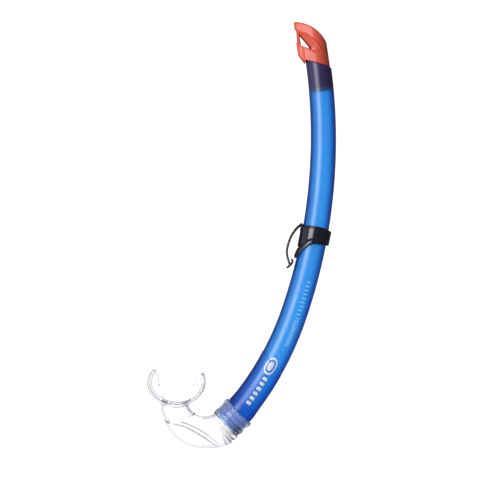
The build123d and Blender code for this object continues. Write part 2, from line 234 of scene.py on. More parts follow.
def surface_net(name, field, low, high, cell):
    """Piece whose surface is where field is zero. The field is negative inside.

    One point per grid cell that the surface crosses, moved onto it, and one quad per
    grid edge that crosses it.
    """
    axes = [np.arange(a - NET_MARGIN, b + NET_MARGIN, cell) for a, b in zip(low, high)]
    shape = tuple(len(axis) for axis in axes)
    x, y, z = axes[0][:, None, None], axes[1][None, :, None], axes[2][None, None, :]
    value = np.broadcast_to(field(x, y, z), shape)
    cells = tuple(n - 1 for n in shape)
    total = np.zeros((int(np.prod(cells)), 3))
    count = np.zeros(int(np.prod(cells)))
    quads = []
    for axis in range(3):
        after = np.moveaxis(value, axis, 0)
        before, after = after[:-1], after[1:]
        where = np.nonzero((before < 0) != (after < 0))
        share = before[where] / (before[where] - after[where])
        flipped = before[where] < 0
        spot = np.array(where, float)
        spot[0] += share
        order = [axis, *[a for a in range(3) if a != axis]]
        grid = np.empty_like(spot)
        grid[order] = spot
        corner = np.empty_like(np.array(where))
        corner[order] = np.array(where)
        around = []
        for first, second in ((0, 0), (1, 0), (1, 1), (0, 1)):
            cell_index = corner.copy()
            cell_index[order[1]] -= first
            cell_index[order[2]] -= second
            flat = np.ravel_multi_index(tuple(cell_index), cells)
            around.append(flat)
            count += np.bincount(flat, minlength=len(count))
            for k in range(3):
                total[:, k] += np.bincount(flat, weights=grid[k], minlength=len(count))
        quad = np.stack(around, axis=1)
        turn = flipped if axis != 1 else ~flipped
        quad[~turn] = quad[~turn][:, ::-1]
        quads.append(quad)
    used = np.nonzero(count)[0]
    renumber = np.full(len(count), -1)
    renumber[used] = np.arange(len(used))
    start = np.array([axis[0] for axis in axes])
    points = start + cell * total[used] / count[used, None]
    points = pull_onto(field, points, cell)
    piece = new_piece(name, points, renumber[np.concatenate(quads)])
    normals = slope_of(field, points, cell / 2)
    normals /= np.maximum(np.linalg.norm(normals, axis=1, keepdims=True), 1e-9)
    piece.data.normals_split_custom_set_from_vertices(normals.tolist())
    return piece


def slope_of(field, points, reach):
    """Gradient of a field at points, from its values a reach to each side."""
    slope = np.empty_like(points)
    for k in range(3):
        step = np.zeros(3)
        step[k] = reach
        ahead = field(*(points + step).T)
        behind = field(*(points - step).T)
        slope[:, k] = (ahead - behind) / (2 * reach)
    return slope


def pull_onto(field, points, cell, rounds=3):
    """Moves points onto the zero surface of a field, along its gradient."""
    for _ in range(rounds):
        value = field(*points.T)
        slope = slope_of(field, points, cell / 8)
        steep = np.maximum((slope**2).sum(axis=1), 0.25)
        move = -(value / steep)[:, None] * slope
        size = np.linalg.norm(move, axis=1, keepdims=True)
        points = points + move * np.minimum(1.0, 0.5 * cell / np.maximum(size, 1e-12))
    return points


# ==== barrel ====

def ring_points(spot, across, radius, turn):
    """Points round the tube: at (x, z) plus a radius, turned from the across direction to +Y."""
    side = radius * np.cos(turn)
    x = spot[..., 0] + side * across[..., 0]
    z = spot[..., 1] + side * across[..., 1]
    return np.stack([x, np.broadcast_to(radius * np.sin(turn), x.shape), z], axis=-1)


BARREL_CORNERS = 128
LABEL_STATIONS = 60
UPPER_STATIONS = 300
RIM_DISTANCES = np.array([1.6, 0.8, 0.5, 0.25, 0.1, 0.0]) * MM    # of the last stations
END_DEPTHS = np.array([0.3, 0.5, 1.0]) * MM       # of the first stations, from the lower end
END_ROUNDING = np.array([0.7, 0.25, 0.0]) * MM    # taken off the radius there
DEEP_LEANS = np.radians([27.0, 33.0, 39.8, 40.2])   # where the barrel's blue deepens and stops
DEEP_SHARES = [0.0, 0.6, 1.0, 0.0]
DEEP_OUTER_SHARE = 0.3           # share of that on the outer side of the bend
LOWER_CENTRE = COLLAR_RIM - LOWER_RADIUS * np.array([np.cos(FOOT_LEAN), -np.sin(FOOT_LEAN)])
OBLIQUE_FROM = radians(-3.0)     # above this lean the stations turn towards the joint's plane
TOP_CHAMFER = 0.7 * MM
# Painted shade: the outer side of the bend, turned from the key light, gets a deeper blue.
OUTER_SHADE_FROM = 0.55                # the blue is deeper from here on round towards the outer side
COVER_FADE = radians(0.2)        # the darker part over the spigot begins over this much lean


def joint_leans(radius, turn):
    """Lean at which each line along the barrel reaches the joint's plane."""
    lean = np.full(turn.shape, TOP_LEAN)
    normal = np.array([np.sin(JOINT_TILT), np.cos(JOINT_TILT)])
    for _ in range(6):
        along, across = direction(lean)
        point = ring_points(centre(lean), across, radius(lean), turn)[..., [0, 2]]
        lean = lean + (point - JOINT) @ normal / (along @ normal) / UPPER_RADIUS
    return lean


def barrel_wall(radius, leans, turn, chamfer=0.0):
    """Rings of one face of the barrel over the curved part, up to the oblique top."""
    end = joint_leans(radius, turn)
    share = (OBLIQUE_FROM - leans) / (OBLIQUE_FROM - TOP_LEAN)
    share = np.clip(share, 0, None)[:, None]
    lean = np.where(share > 0, OBLIQUE_FROM + share * (end - OBLIQUE_FROM), leans[:, None])
    left = np.maximum(lean - end, 0) * UPPER_RADIUS
    size = radius(lean) - chamfer * np.clip(1 - left / (TOP_CHAMFER + 1e-9), 0, 1) ** 2
    near_step = np.exp(-(((lean - LABEL_LEAN) / LABEL_BLEND) ** 2))
    shift = KNEE_R * np.tan(LABEL_TILT) / LOWER_RADIUS * np.cos(turn) * near_step
    return ring_points(centre(lean + shift), direction(lean + shift)[1], size, turn)


def straight_rings(distances, radius, turn):
    """Rings on the collar's axis, at distances below its rim."""
    along, across = direction(COLLAR_LEAN)
    spots = COLLAR_RIM - np.asarray(distances)[:, None] * along
    return ring_points(spots[:, None, :], across, np.asarray(radius)[:, None], turn)


def bend_rings(radius, turn):
    """Rings that turn from the collar's axis to the barrel's, round the rim's centre."""
    first = COLLAR_RIM - BEND_REACH * direction(COLLAR_LEAN)[0]
    last = centre(FOOT_LEAN - BEND_REACH / LOWER_RADIUS)
    share = np.linspace(0, 1, 7)[:, None]
    spots = (1 - share) ** 2 * first + 2 * share * (1 - share) * COLLAR_RIM + share**2 * last
    lean = COLLAR_LEAN + share * (FOOT_LEAN - BEND_REACH / LOWER_RADIUS - COLLAR_LEAN)
    return ring_points(spots[:, None, :], direction(lean)[1], radius, turn)


def make_barrel():
    turn = np.linspace(0, tau, BARREL_CORNERS, endpoint=False)[None, :]
    rim = TOP_LEAN + RIM_DISTANCES / UPPER_RADIUS
    start = FOOT_LEAN - BEND_REACH / LOWER_RADIUS
    leans = np.concatenate(
        [
            np.linspace(start, LABEL_LEAN + radians(0.1), LABEL_STATIONS)[1:],
            np.linspace(LABEL_LEAN, rim[0], UPPER_STATIONS, endpoint=False),
            rim,
        ]
    )
    straight = np.linspace(INSERT_LENGTH - 2 * MM, BEND_REACH, 8)[:-1]
    depths = np.concatenate([INSERT_LENGTH - END_DEPTHS, straight])
    radii = INSERT_R - np.pad(END_ROUNDING, (0, len(straight)))
    outer = [
        straight_rings(depths, radii, turn),
        bend_rings(INSERT_R, turn),
        barrel_wall(barrel_radius, leans, turn, TOP_CHAMFER),
    ]
    inner = [
        straight_rings(depths, np.full(len(depths), INSERT_BORE_R), turn),
        bend_rings(INSERT_BORE_R, turn),
        barrel_wall(bore_radius, leans[1::3], turn),
    ]
    barrel = loop_grid("barrel_look", np.concatenate([*outer, np.concatenate(inner)[::-1]]))
    spots = np.array([vertex.co[:] for vertex in barrel.data.vertices])
    below = np.arctan2(LOWER_CENTRE[1] - spots[:, 2], spots[:, 0] - LOWER_CENTRE[0])
    around = np.broadcast_to(np.cos(turn), (len(spots) // BARREL_CORNERS, BARREL_CORNERS)).ravel()
    side_share = np.interp(around, [-1, 1], [1.0, DEEP_OUTER_SHARE])
    store(barrel, "zone", np.interp(below, DEEP_LEANS, DEEP_SHARES) * side_share)
    # Painted shade: how much of the deeper blue each point on the outer side of the bend gets.
    store(barrel, "outer", np.clip((around - OUTER_SHADE_FROM) / (1 - OUTER_SHADE_FROM), 0, 1))
    above = np.arctan2(ARC_CENTRE[1] - spots[:, 2], spots[:, 0] - ARC_CENTRE[0])
    store(barrel, "cover", np.interp(above, [SPIGOT_LEAN - COVER_FADE, SPIGOT_LEAN], [1.0, 0.0]))
    return barrel


# ==== splash guard ====

GUARD_R = 11.4 * MM
GUARD_NOSE_R = 6.0 * MM
GUARD_NOSE_REACH = 12.8 * MM
GUARD_WALL = 1.8 * MM
GUARD_EDGE = 0.7 * MM            # rounding between the hood's faces
CROWN_EDGE = 2.6 * MM            # the same along its crown and back
CROWN_REACH = 4.0 * MM
HOLLOW_EDGE = 2.0 * MM           # rounding where the hollow meets the windows
BLOCK_EDGE = 0.4 * MM
BLOCK_FACE_EDGE = 0.5 * MM
SPIGOT_GRIP = 0.06 * MM          # the spigot is pressed this far into the barrel's bore
SPIGOT_WALL = 1.5 * MM
SCOOP_DEPTH = 1.0 * MM
SCOOP_SLOPE = 0.55
GUARD_CELL = 0.4 * MM


def joint_height(x):
    return JOINT[1] - (x - JOINT[0]) * np.tan(JOINT_TILT)


def millimetres(points):
    return [(x * MM, z * MM) for x, z in points]


GUARD_SIDE = (
    arc_through(*millimetres([(109.0, 358.6), (126.2, 352.9), (140.4, 338.8)]))
    + [(x * MM, joint_height(x * MM)) for x in (143.9, 120.4)]
    + millimetres([(119.9, 319.5), (113.6, 327.2), (111.7, 338.7), (112.5, 339.6)])
    + millimetres([(111.7, 350.6), (110.1, 352.2)])
)
WINDOW = (
    arc_through(*millimetres([(113.4, 347.8), (121.8, 342.3), (127.2, 334.6)]))
    + arc_through(*millimetres([(127.2, 334.6), (126.8, 332.8), (124.9, 332.2)]), steps=5)[1:]
    + millimetres([(116.3, 335.4), (114.9, 343.0)])
)
WINDOW_BOTTOM = millimetres([(114.6, 344.2), (124.6, 332.3), (116.3, 335.4)])
SCOOP = (
    arc_through(*millimetres([(113.1, 349.4), (123.3, 342.9), (129.6, 333.6)]))
    + millimetres([(130.1, 331.0), (128.2, 328.3), (118.5, 334.3), (114.2, 336.5)])
)
BLOCK = millimetres(
    [(110.5, 340.6), (112.6, 340.2), (118.5, 334.3), (128.2, 328.3), (131.5, 318.5), (119.0, 317.5),
     (111.5, 328.0)]
)
BLOCK_FLANK = (10.9 * MM, 3.5 * MM, radians(16.0))   # half width, at this reach, and the narrowing
BLOCK_CORNER = (11.8 * MM, 8.5 * MM)                  # reach and half width of its front corner
BLOCK_TIP = 18.9 * MM
RIDGE = (0.42 * MM, 0.55 * MM)    # height and width of the scoop's raised edge
CREASE_LINE = (0.45 * MM, 0.9 * MM)   # height and width of the line behind it
HOOD_CREASE = curve_through(
    millimetres([(119.5, 346.6), (124.5, 342.6), (129.5, 337.6), (133.5, 332.5)])
)
CROWN_LINE = GUARD_SIDE[:13]


def tube_coordinates(x, z):
    """Distance across from the upper centreline and the lean there."""
    dx, dz = x - ARC_CENTRE[0], z - ARC_CENTRE[1]
    return np.hypot(dx, dz) - UPPER_RADIUS, -np.arctan2(dz, dx)


def nose_distance(x, z):
    """How far in front of the tube's middle a point of the hood is."""
    _, across = direction(TOP_LEAN)
    return -((x - JOINT[0]) * across[0] + (z - JOINT[1]) * across[1])


def hood_plan(nose, side):
    """Signed distance to the hood's egg-shaped plan."""
    sine = (GUARD_R - GUARD_NOSE_R) / GUARD_NOSE_REACH
    cosine = np.sqrt(1 - sine * sine)
    reach = nose * cosine - side * sine
    flank = side * cosine + nose * sine - GUARD_R
    back = np.hypot(side, nose) - GUARD_R
    front = np.hypot(side, nose - GUARD_NOSE_REACH) - GUARD_NOSE_R
    return np.where(reach < 0, back, np.where(reach > cosine * GUARD_NOSE_REACH, front, flank))


def block_plan(nose, side):
    """Signed distance to the blunter plan of the block under the windows."""
    width, reach, narrowing = BLOCK_FLANK
    flank = (side - width) * np.cos(narrowing) + (nose - reach) * np.sin(narrowing)
    length = np.hypot(BLOCK_TIP - BLOCK_CORNER[0], BLOCK_CORNER[1])
    face = (nose - BLOCK_CORNER[0]) * BLOCK_CORNER[1]
    face = (face + (side - BLOCK_CORNER[1]) * (BLOCK_TIP - BLOCK_CORNER[0])) / length
    return smooth_max(flank, face, BLOCK_FACE_EDGE)


def guard_field(x, y, z):
    side = outline_distance(x, z, GUARD_SIDE)
    nose = nose_distance(x, z)
    plan = hood_plan(nose, np.abs(y))
    scoop_gap = outline_distance(x, z, SCOOP)
    scoop = np.clip(-scoop_gap * SCOOP_SLOPE, 0, SCOOP_DEPTH)
    ridge = raised_line(scoop_gap, *RIDGE)
    crease = raised_line(line_distance(x, z, HOOD_CREASE), *CREASE_LINE)
    near_crown = np.clip(1 - line_distance(x, z, CROWN_LINE) / CROWN_REACH, 0, 1)
    edge = GUARD_EDGE + (CROWN_EDGE - GUARD_EDGE) * near_crown
    plan = plan + scoop - ridge - crease
    block = smooth_max(block_plan(nose, np.abs(y)), outline_distance(x, z, BLOCK), BLOCK_EDGE)
    hood = smooth_max(side, np.minimum(plan, block), edge)
    hollow = smooth_max(side + GUARD_WALL, plan + GUARD_WALL, GUARD_EDGE)
    depth = np.clip(-plan / GUARD_WALL, 0, 1)
    window = outline_distance(x, z, WINDOW) * (1 - depth)
    window = window + outline_distance(x, z, WINDOW_BOTTOM) * depth
    hood = smooth_max(hood, -window, SOFT)
    hood = smooth_max(hood, -hollow, HOLLOW_EDGE)
    across, lean = tube_coordinates(x, z)
    tube = np.hypot(across, y)
    bore = bore_radius(lean)
    ring = smooth_max(tube - bore - SPIGOT_GRIP, (lean - SPIGOT_LEAN) * UPPER_RADIUS, 0.5 * MM)
    ring = np.maximum(ring, z - joint_height(x) - GUARD_WALL / 2)
    way = np.maximum(tube - bore + SPIGOT_WALL, z - joint_height(x) - GUARD_WALL * 2)
    return smooth_max(np.minimum(hood, ring), -way, 0.2 * MM)


# ==== keeper ====

KEEPER_BORE_R = 12.85 * MM
KEEPER_OUTER_R = 14.7 * MM
KEEPER_SHIFT = 0.65 * MM
BEAD_OUTER_R = 15.6 * MM
BEAD_SHIFT = 0.4 * MM
PIN_R = 0.7 * MM
PIN_HALF = 4.6 * MM
PIN_GAP = 0.06 * MM
KNUCKLE_R = 1.5 * MM
EAR_OUTER_Y = 4.5 * MM
EAR_INNER_Y = 2.7 * MM
EAR_GAP = 0.35 * MM
HOOK_HALF_WIDTH = 4.5 * MM
KEEPER_CELL = 0.35 * MM
BAND_SIDE = curve_through(
    millimetres([(112.5, 163.6), (120.5, 166.9), (128.2, 166.4), (137.3, 164.5), (145.0, 161.0)]), 4
) + millimetres([(142.0, 148.1), (129.1, 149.9), (122.4, 150.6), (112.0, 147.2), (110.5, 147.2)])
BAND_TOP = curve_through(
    millimetres([(113.5, 162.9), (120.5, 165.7), (128.2, 165.2), (137.3, 163.3)]), 4
)
RIM_SWELL = (0.5 * MM, 0.9 * MM)  # height and width of the swell along the band's top
BEAD_SIDE = curve_through(
    millimetres([(127.7, 150.2), (122.4, 147.9), (117.6, 144.1), (113.8, 139.3), (110.4, 136.0)]), 4
) + curve_through(
    millimetres([(107.9, 139.0), (111.9, 145.1), (117.6, 150.6), (122.4, 153.7), (127.7, 155.4)]), 4
)
WEB_SIDE = millimetres([(116.0, 168.6), (118.2, 168.6), (121.5, 165.0), (115.5, 163.0)])
ARM_LINE = curve_through(
    [tuple(HINGE), *millimetres([(111.0, 163.4), (105.9, 155.0), (102.8, 142.4), (105.4, 131.0)])]
)
CLAW_LINE = curve_through(millimetres([(103.3, 127.9), (106.0, 130.2), (108.2, 133.3), (107.5, 135.2)]))


def band_field(x, y, z):
    across, _ = tube_coordinates(x, z)
    band = smooth_max(
        np.hypot(across - KEEPER_SHIFT, y) - KEEPER_OUTER_R,
        outline_distance(x, z, BAND_SIDE),
        0.9 * MM,
    )
    band = band - raised_line(line_distance(x, z, BAND_TOP), *RIM_SWELL)
    bead = smooth_max(
        np.hypot(across - BEAD_SHIFT, y) - BEAD_OUTER_R,
        outline_distance(x, z, BEAD_SIDE),
        2.4 * MM,
    )
    knuckle = np.hypot(x - HINGE[0], z - HINGE[1])
    web = outline_distance(x, z, WEB_SIDE)
    ears = smooth_min(knuckle - KNUCKLE_R, web, 0.6 * MM)
    ears = smooth_max(ears, np.abs(np.abs(y) - (EAR_INNER_Y + EAR_OUTER_Y) / 2)
                      - (EAR_OUTER_Y - EAR_INNER_Y) / 2, SOFT)
    solid = smooth_min(smooth_min(band, bead, 1.0 * MM), ears, SOFT)
    solid = smooth_max(solid, KEEPER_BORE_R - np.hypot(across, y), SOFT)
    return np.maximum(solid, PIN_R - knuckle)


def hook_field(x, y, z):
    drop = np.clip((HINGE[1] - z) / (30 * MM), 0, 1)
    arm = line_distance(x, z, ARM_LINE) - (1.2 - 0.25 * drop) * MM
    claw = line_distance(x, z, CLAW_LINE) - 0.95 * MM
    blade = smooth_min(arm, claw, 0.8 * MM)
    width = np.abs(y) - HOOK_HALF_WIDTH
    blade = smooth_max(blade, width, 0.9 * MM)
    knuckle = np.hypot(x - HINGE[0], z - HINGE[1])
    eye = smooth_max(knuckle - KNUCKLE_R, np.abs(y) - EAR_OUTER_Y, SOFT)
    solid = smooth_min(blade, eye, 0.5 * MM)
    ear_room = np.maximum(knuckle - KNUCKLE_R - 2 * EAR_GAP, EAR_INNER_Y - EAR_GAP - np.abs(y))
    return np.maximum(np.maximum(solid, -ear_room), PIN_R + PIN_GAP - knuckle)


def make_pin():
    """Small pin with rounded ends, turned about the hinge's axis."""
    turn = np.linspace(0, tau, 32, endpoint=False)
    profile = [(-PIN_HALF, 0.55), (-0.96 * PIN_HALF, 0.9), (-0.9 * PIN_HALF, 1.0)]
    profile += [(-y, share) for y, share in reversed(profile)]
    rings = [
        [(HINGE[0] + PIN_R * s * np.cos(t), y, HINGE[1] + PIN_R * s * np.sin(t)) for t in turn]
        for y, s in profile
    ]
    points = np.array(rings).reshape(-1, 3)
    sides = loop_faces(len(profile), len(turn))[:-len(turn), ::-1].tolist()
    ends = [range(len(turn)), range(len(points) - len(turn), len(points))[::-1]]
    return new_piece("keeper_hinge_pin_look", points, [*sides, *ends])


# ==== elbow ====

ELBOW_WALL = 1.6 * MM
COLLAR_GAP = 0.05 * MM
COLLAR_R = 15.6 * MM
STOP_BORE_R = 12.3 * MM
SLEEVE_WALL = 1.4 * MM
SLEEVE_GAP = 0.04 * MM
SKIN = 0.01 * MM                  # the bend's surface lies this far inside its sections
NECK_TOP_Z = -1.2 * MM
ELBOW_CORNERS = 160

# Cross-sections of the air way: the outer point, the inner point, as (x, z), and half
# of the width along Y, in millimetres.
NECK_SECTIONS = np.array(
    [
        (-15.9, 1.0, 9.6, 1.0, 9.2),
        (-14.8, -8.5, 12.2, -5.5, 9.8),
        (-11.0, -17.2, 16.8, -9.8, 10.8),
    ]
) * MM
BEND_SECTIONS = np.array(
    [
        (-5.8, -26.6, 19.5, -11.2, 12.0),
        (3.0, -35.0, 22.3, -12.0, 13.2),
        (15.5, -40.5, 25.0, -12.3, 14.2),
        (29.0, -41.8, 28.0, -12.0, 14.9),
        (42.0, -40.3, 31.3, -11.2, 15.4),
        (51.0, -36.0, 33.2, -10.6, 15.6),
    ]
) * MM
CREASE = curve_through(
    millimetres([(-4.2, -17.6), (-1.0, -18.4), (7.1, -20.2), (16.5, -24.6), (25.9, -30.2), (33.4, -36.0),
                 (40.9, -41.2)])
)
CREASE_STEP = 0.95 * MM


def collar_sections(distances, radius):
    along, across = direction(COLLAR_LEAN)
    spots = COLLAR_RIM - np.asarray(distances)[:, None] * along
    radius = np.broadcast_to(radius, (len(spots),))[:, None]
    return np.concatenate([spots + radius * across, spots - radius * across, radius], axis=1)


def oval_rings(sections, inset, turn):
    """Rings of points round the air way's sections, each inset by a distance."""
    outer, inner, half_y = sections[:, 0:2], sections[:, 2:4], sections[:, 4:5]
    middle = (outer + inner) / 2
    across = (outer - inner) / 2
    length = np.linalg.norm(across, axis=1, keepdims=True)
    across = across / length
    inset = np.broadcast_to(inset, (len(sections),))[:, None]
    side = (length - inset) * np.cos(turn)
    x = middle[:, :1] + side * across[:, :1]
    z = middle[:, 1:] + side * across[:, 1:]
    return np.stack([x, (half_y - inset) * np.sin(turn), z], axis=-1)


def along_sections(sections, stations):
    """Smoothly interpolated sections."""
    steps = 24
    fine = np.array(curve_through([tuple(s) for s in sections], steps))
    at = np.linspace(0, len(fine) - 1, stations)
    return np.stack([np.interp(at, np.arange(len(fine)), column) for column in fine.T], axis=1)


# Distance down from the rim and added radius of the bead and the stepped ribs, in
# millimetres. The ribs fade out towards the inside of the bend.
RIB_PROFILE = np.array(
    [
        (0.0, 0.4), (0.4, 0.75), (1.0, 0.9), (4.0, 0.96), (4.6, 0.8), (5.1, 0.35), (5.6, 0.0),
        (9.8, 0.0), (10.4, 0.4), (10.8, 0.8), (11.6, 1.0), (13.2, 0.8), (14.6, 0.2), (15.6, 0.0),
        (16.6, 0.0), (17.2, 0.5), (18.0, 0.7), (20.2, 0.7), (21.2, 0.3), (22.4, -0.5),
        (24.6, -0.4), (25.2, 0.2), (26.0, 0.5), (28.4, 0.4), (31.0, 0.0), (34.0, 0.0),
    ]
) * MM
RING_RIB_END = 8.0 * MM           # above this the bead runs all the way round
HAZE_FADE = 3.0 * MM              # the collar's haze ends over this length of the bend
# Width of the painted shade line along the crease.
SHADE_LINE_WIDTH = 0.75 * MM


def fan_station(x, z, sections):
    """Which section line (x, z) lies on, as a number from 0 to the last section's."""
    last = len(sections) - 1
    marks = np.arange(last + 1)

    def miss(s):
        ox, oz, ix, iz = (np.interp(s, marks, sections[:, k]) for k in range(4))
        return (ix - ox) * (z - oz) - (iz - oz) * (x - ox)

    low = np.zeros(np.broadcast(x, z).shape)
    high = np.full(low.shape, float(last))
    for _ in range(14):
        middle = (low + high) / 2
        below = miss(middle) < 0
        low = np.where(below, middle, low)
        high = np.where(below, high, middle)
    return (low + high) / 2


def oval_distance(x, y, z, sections, station, inset):
    marks = np.arange(len(sections))
    ox, oz, ix, iz, half_y = (np.interp(station, marks, sections[:, k]) for k in range(5))
    length = np.hypot(ix - ox, iz - oz)
    u = ((x - (ox + ix) / 2) * (ix - ox) + (z - (oz + iz) / 2) * (iz - oz)) / length
    a, b = length / 2 - inset, half_y - inset
    reach = np.hypot(u / a, y / b)
    slope = np.hypot(u / (a * a), y / (b * b))
    return reach * (reach - 1) / np.maximum(slope, 1e-9)


def add_ribs(rings, distance, turn):
    """Swells rings of the elbow by its bead and ribs, a distance down from the rim."""
    rise = np.interp(distance, *RIB_PROFILE.T)[:, None]
    fade = (0.5 + 0.5 * np.cos(turn)) ** 1.2
    rise = rise * np.where(distance[:, None] < RING_RIB_END, 1.0, fade)
    middle = rings.mean(axis=1, keepdims=True)
    outward = rings - middle
    return rings + rise[..., None] * outward / np.linalg.norm(outward, axis=-1, keepdims=True)


def rib_shade_lines(distance, turn):
    """How strongly painted shade lines show along the steep sides of the ribs."""
    steep = np.abs(np.gradient(np.interp(distance, *RIB_PROFILE.T), distance))[:, None]
    fade = np.where(distance[:, None] < RING_RIB_END, 0.25, 0.5 + 0.5 * np.cos(turn))
    return np.clip(steep / 0.35, 0, 1) * fade


def make_elbow():
    turn = np.linspace(0, tau, ELBOW_CORNERS, endpoint=False)[None, :]
    marks = np.arange(len(NECK_SECTIONS))
    top_mark = (NECK_SECTIONS[0, 1] - NECK_TOP_Z) / (NECK_SECTIONS[0, 1] - NECK_SECTIONS[1, 1])
    neck_at = np.linspace(top_mark, marks[-1], 14)
    neck = np.stack([np.interp(neck_at, marks, column) for column in NECK_SECTIONS.T], axis=1)
    spigot_outer = oval_rings(neck, SLEEVE_WALL + SLEEVE_GAP, turn)
    spigot_inner = oval_rings(neck, SLEEVE_WALL + ELBOW_WALL, turn)[::-1]
    mouth = collar_sections([INSERT_LENGTH], COLLAR_R)
    bend = along_sections(np.concatenate([NECK_SECTIONS[-1:], BEND_SECTIONS, mouth]), 260)
    steps = np.linalg.norm(np.diff(bend[::-1, :2], axis=0), axis=1)
    distance = INSERT_LENGTH + np.concatenate([[0], np.cumsum(steps)])[::-1]
    bend_outer = add_ribs(oval_rings(bend, SKIN, turn), distance, turn)
    crease_shade, bend_outer = add_crease(bend_outer, turn)
    depths = np.linspace(INSERT_LENGTH, 0, 66)[1:]
    collar = add_ribs(straight_rings(depths, np.full(len(depths), COLLAR_R), turn), depths, turn)
    bore_depths = np.array([0.0, 0.3, 2.2, 6.0, 12.0, INSERT_LENGTH / MM]) * MM
    bore_lead = np.array([0.9, 0.65, 0.0, 0.0, 0.0, 0.0]) * MM
    bore = straight_rings(bore_depths, INSERT_R + COLLAR_GAP + bore_lead, turn)
    stop = collar_sections([INSERT_LENGTH], STOP_BORE_R + ELBOW_WALL)
    inner_bend = along_sections(np.concatenate([NECK_SECTIONS[-1:], BEND_SECTIONS, stop]), 60)
    inset = np.full(len(inner_bend), ELBOW_WALL)
    inset[:3] = ELBOW_WALL + SLEEVE_WALL * np.array([1.0, 0.6, 0.2])
    inset[-4:] = ELBOW_WALL * np.array([0.85, 0.5, 0.15, -0.2])
    inner = oval_rings(inner_bend, inset, turn)[::-1]
    rings = [spigot_outer[:-1], bend_outer, collar, bore, inner, spigot_inner[1:]]
    # Painted shade: dark lines along the crease and the steep sides of the ribs, kept for the material.
    lines = [np.zeros(part.shape[:2]) for part in rings]
    lines[1] = np.maximum(crease_shade, rib_shade_lines(distance, turn))
    lines[2] = rib_shade_lines(depths, turn)
    haze = [np.zeros(part.shape[:2]) for part in rings]
    haze[1] += np.clip(1 - (distance - INSERT_LENGTH) / HAZE_FADE, 0, 1)[:, None]
    haze[2] += 1
    haze[3] += 1
    elbow = loop_grid("elbow_look", np.concatenate(rings))
    store(elbow, "line", np.concatenate(lines))
    store(elbow, "haze", np.concatenate(haze))
    return elbow


def add_crease(rings, turn):
    """Steps the elbow's lower bowl out below the crease that runs down each side.

    Returns how strongly painted shade shows along the crease at each point, and the moved points.
    """
    x, z = rings[..., 0], rings[..., 2]
    gap = line_distance(x, z, CREASE)
    line = np.array(CREASE)
    under = z < np.interp(x, line[:, 0], line[:, 1])
    signed = np.where(under, gap, -gap)
    span = (x > line[0, 0] - 2 * MM) & (x < line[-1, 0] + 1 * MM)
    lift = np.clip(signed / (0.45 * MM) + 0.5, 0, 1) * np.exp(-np.maximum(signed, 0) / (9 * MM))
    fade = np.clip((x - line[0, 0]) / (3 * MM) + 0.4, 0, 1) * np.clip((line[-1, 0] - x) / (3 * MM), 0, 1)
    push = CREASE_STEP * np.where(span, lift * fade, 0) * np.sin(turn) ** 2 * np.sign(np.sin(turn))
    rings = rings.copy()
    rings[..., 1] += push
    # Painted shade: a dark line along the crease.
    mark = raised_line(gap, 1.0, SHADE_LINE_WIDTH) * np.where(span, fade, 0) * np.abs(np.sin(turn))
    return mark, rings


# ==== mouth bit ====

ARCH_R = 29.7 * MM
ARCH_TURN = radians(52.0)
ARCH_LOW = np.array([-1.0, -2.8]) * MM
ARCH_LEFT_TIP = np.array([-23.0, 31.5]) * MM
ARCH_RIGHT_TIP = np.array([25.2, 28.0]) * MM
FLANGE_WALL = 2.6 * MM
FLANGE_MIDDLE = 1.42 * MM         # depth of the middle of the wall below the arch's line
FLANGE_HALF_HEIGHT = 15.0 * MM
FLANGE_CORNER = 8.0 * MM
FLANGE_CUP = 0.8 * MM
TAB_HALF_THICK = 1.8 * MM
TAB_REACH = 8.3 * MM
TAB_CORNERS = millimetres([(15.2, 22.6), (-14.8, 24.2)])
TAB_END_TURN = radians(30.5)      # the tabs end this far round the arch from its lowest point
LUG_THICK = 3.0 * MM
LUG_HALF_HEIGHT = 4.5 * MM
LUG_LOW_Z = 17.0 * MM
LIP_SWELL = 0.55 * MM
LIP_LENGTH = 1.6 * MM
FAR = 100.0 * MM
BIT_CELL = 0.45 * MM


def tangent_arc(start, tangent, end, steps=14):
    """Points of the arc that leaves start along a direction and passes through end."""
    start, tangent, end = (np.asarray(v, float) for v in (start, tangent, end))
    normal = np.array([-tangent[1], tangent[0]])
    chord = end - start
    radius = chord @ chord / (2 * normal @ chord)
    mid = start + radius * normal
    first = np.arctan2(*(start - mid)[::-1])
    last = np.arctan2(*(end - mid)[::-1])
    turn = (last - first + tau / 2) % tau - tau / 2
    return arc_points(mid, abs(radius), first + turn * np.linspace(0, 1, steps))


def arch(inset, lid):
    """Closed plan of the U-shaped flange, inset from its outer line. The lid joins its tips."""
    radius = ARCH_R - inset
    hub = ARCH_LOW + np.array([0, ARCH_R])
    angles = np.linspace(-tau / 4 - ARCH_TURN, -tau / 4 + ARCH_TURN, 28)
    heel = arc_points(hub, radius, angles)
    sine, cosine = np.sin(ARCH_TURN), np.cos(ARCH_TURN)
    left = tangent_arc(heel[0], (-cosine, sine), ARCH_LEFT_TIP + np.array([inset, 0]))
    right = tangent_arc(heel[-1], (cosine, sine), ARCH_RIGHT_TIP - np.array([inset, 0]))
    return left[:0:-1] + heel + right[1:] + list(lid)


def open_arch(inset):
    """The same plan run up far above the tips."""
    return arch(inset, [(ARCH_RIGHT_TIP[0] - inset, FAR), (ARCH_LEFT_TIP[0] + inset, FAR)])


